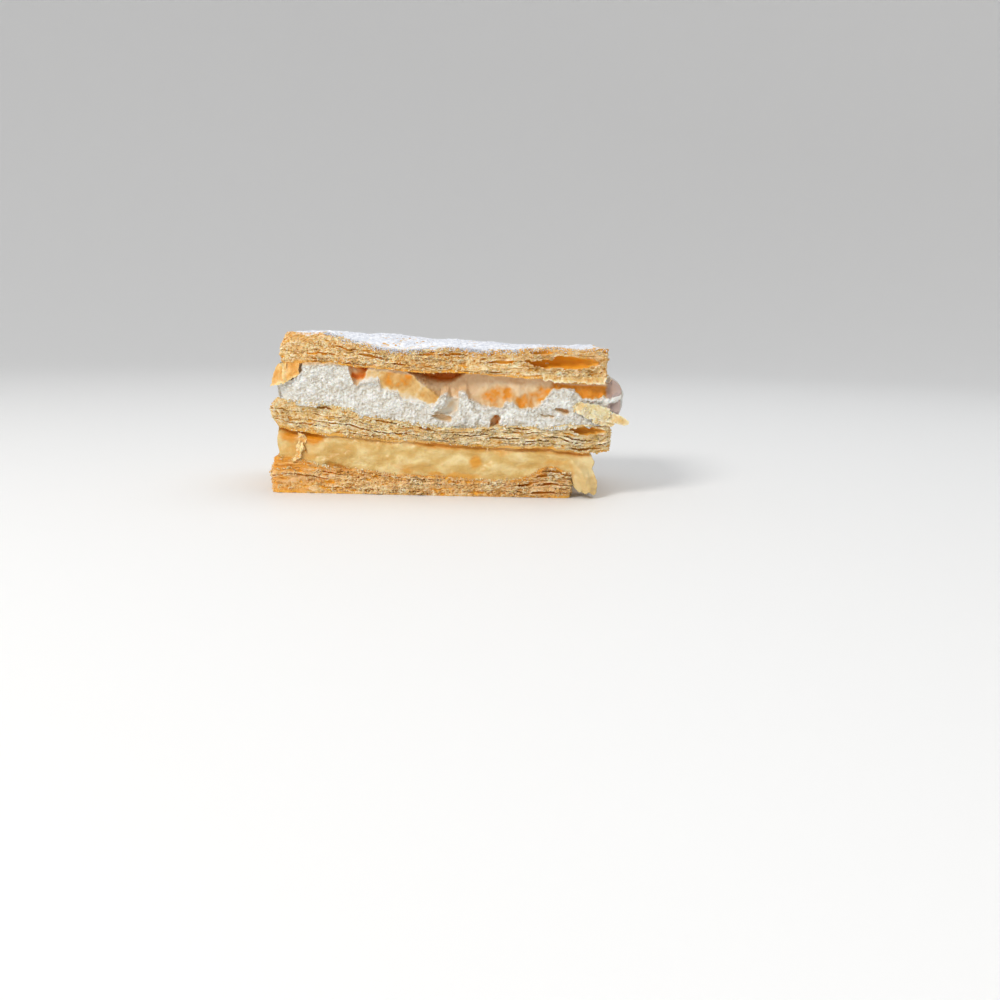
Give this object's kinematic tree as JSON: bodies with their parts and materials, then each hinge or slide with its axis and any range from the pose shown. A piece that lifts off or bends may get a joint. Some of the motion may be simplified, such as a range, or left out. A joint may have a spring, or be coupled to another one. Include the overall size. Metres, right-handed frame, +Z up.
{
  "type": "mille feuille slice",
  "caption": "Slice of layered puff pastry filled with whipped cream and custard, dusted with icing sugar, standing on its flat base.",
  "frame": {"origin": "middle of the base, on the surface that the slice stands on", "axes": "+Z up, +X along the long cut face to the right as the front cut is seen, +Y from the front cut to the back cut"},
  "size_m": [0.1196, 0.0502, 0.0542],
  "materials": {
    "bottom_pastry": "baked puff pastry, flaky and matt",
    "custard": "smooth pastry custard with a soft gloss",
    "middle_pastry": "pale baked puff pastry, flaky and matt",
    "cream": "whipped cream, soft and matt",
    "top_pastry": "golden baked puff pastry, dusted with icing sugar on top"
  },
  "bodies": {
    "root": {"bottom_sheet": "bottom_pastry", "custard": "custard", "middle_sheet": "middle_pastry", "cream": "cream", "top_sheet": "top_pastry"}
  },
  "joints": []
}
